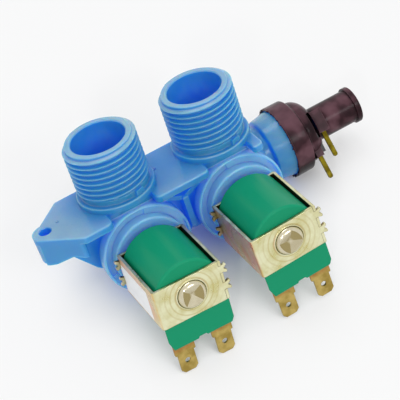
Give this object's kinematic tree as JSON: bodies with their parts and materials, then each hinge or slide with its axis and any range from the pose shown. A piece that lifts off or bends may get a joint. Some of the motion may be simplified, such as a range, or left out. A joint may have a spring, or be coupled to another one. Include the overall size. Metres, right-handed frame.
{
  "type": "washing machine inlet valve",
  "caption": "Moulded water inlet valve with threaded hose inlets on a mounting plate, solenoid coils with spade terminals and one outlet spigot.",
  "frame": {"origin": "on the top face of the mounting plate, midway between the two inlet axes", "axes": "+X along the row of inlets towards the outlet, +Z along the inlets away from the plate, the solenoids point to -Y"},
  "size_m": [0.1311, 0.0699, 0.073],
  "materials": {
    "blue_moulding": "satin, slightly translucent",
    "white_moulding": "moulded",
    "green_moulding": "satin",
    "brown_moulding": "satin",
    "bobbin_moulding": "moulded",
    "sensor_resin": "dull",
    "rubber": "moulded",
    "zinc_plated_steel": "yellow passivated zinc",
    "stainless_steel": "bright drawn",
    "magnetic_steel": "turned",
    "brass": "stamped",
    "copper_wire": "enamelled wire"
  },
  "bodies": {
    "valve": {"valve_body": "blue_moulding", "bonnet_left": "blue_moulding", "bonnet_right": "blue_moulding", "inlet_screen_left": "white_moulding", "inlet_screen_right": "white_moulding", "flow_washer_left": "rubber", "flow_washer_right": "rubber", "diaphragm_left": "rubber", "diaphragm_right": "rubber", "guide_seal_left": "rubber", "guide_seal_right": "rubber", "guide_tube_left": "stainless_steel", "guide_tube_right": "stainless_steel", "pole_piece_left": "magnetic_steel", "pole_piece_right": "magnetic_steel", "armature_spring_left": "stainless_steel", "armature_spring_right": "stainless_steel", "yoke_front_left": "zinc_plated_steel", "yoke_front_right": "zinc_plated_steel", "yoke_rear_left": "zinc_plated_steel", "yoke_rear_right": "zinc_plated_steel", "coil_case_left": "green_moulding", "coil_case_right": "green_moulding", "bobbin_left": "bobbin_moulding", "bobbin_right": "bobbin_moulding", "winding_left": "copper_wire", "winding_right": "copper_wire", "terminal_a_left": "brass", "terminal_a_right": "brass", "terminal_b_left": "brass", "terminal_b_right": "brass", "outlet_cap": "brown_moulding", "outlet_seal": "rubber", "sensor_body": "sensor_resin", "sensor_blade_a": "brass", "sensor_blade_b": "brass"},
    "plunger_left": {"armature_left": "magnetic_steel", "armature_tip_left": "rubber"},
    "pilot_left": {"pilot_insert_left": "white_moulding"},
    "plunger_right": {"armature_right": "magnetic_steel", "armature_tip_right": "rubber"},
    "pilot_right": {"pilot_insert_right": "white_moulding"}
  },
  "joints": [
    {"name": "plunger_left_lift", "type": "slide", "parent": "valve", "child": "plunger_left", "axis": [0, -1, 0], "range_m": [0, 0.00225], "stiffness_N_per_m": 150, "springref_m": -0.006, "deforming": ["armature_spring_left"]},
    {"name": "diaphragm_left_lift", "type": "slide", "parent": "valve", "child": "pilot_left", "axis": [0, -1, 0], "range_m": [0, 0.00181], "deforming": ["diaphragm_left"]},
    {"name": "plunger_right_lift", "type": "slide", "parent": "valve", "child": "plunger_right", "axis": [0, -1, 0], "range_m": [0, 0.00225], "stiffness_N_per_m": 150, "springref_m": -0.006, "deforming": ["armature_spring_right"]},
    {"name": "diaphragm_right_lift", "type": "slide", "parent": "valve", "child": "pilot_right", "axis": [0, -1, 0], "range_m": [0, 0.00181], "deforming": ["diaphragm_right"]}
  ],
  "couplings": [
    {"joint": "diaphragm_left_lift", "follows": "plunger_left_lift", "ratio": 0.8},
    {"joint": "diaphragm_right_lift", "follows": "plunger_right_lift", "ratio": 0.8}
  ]
}
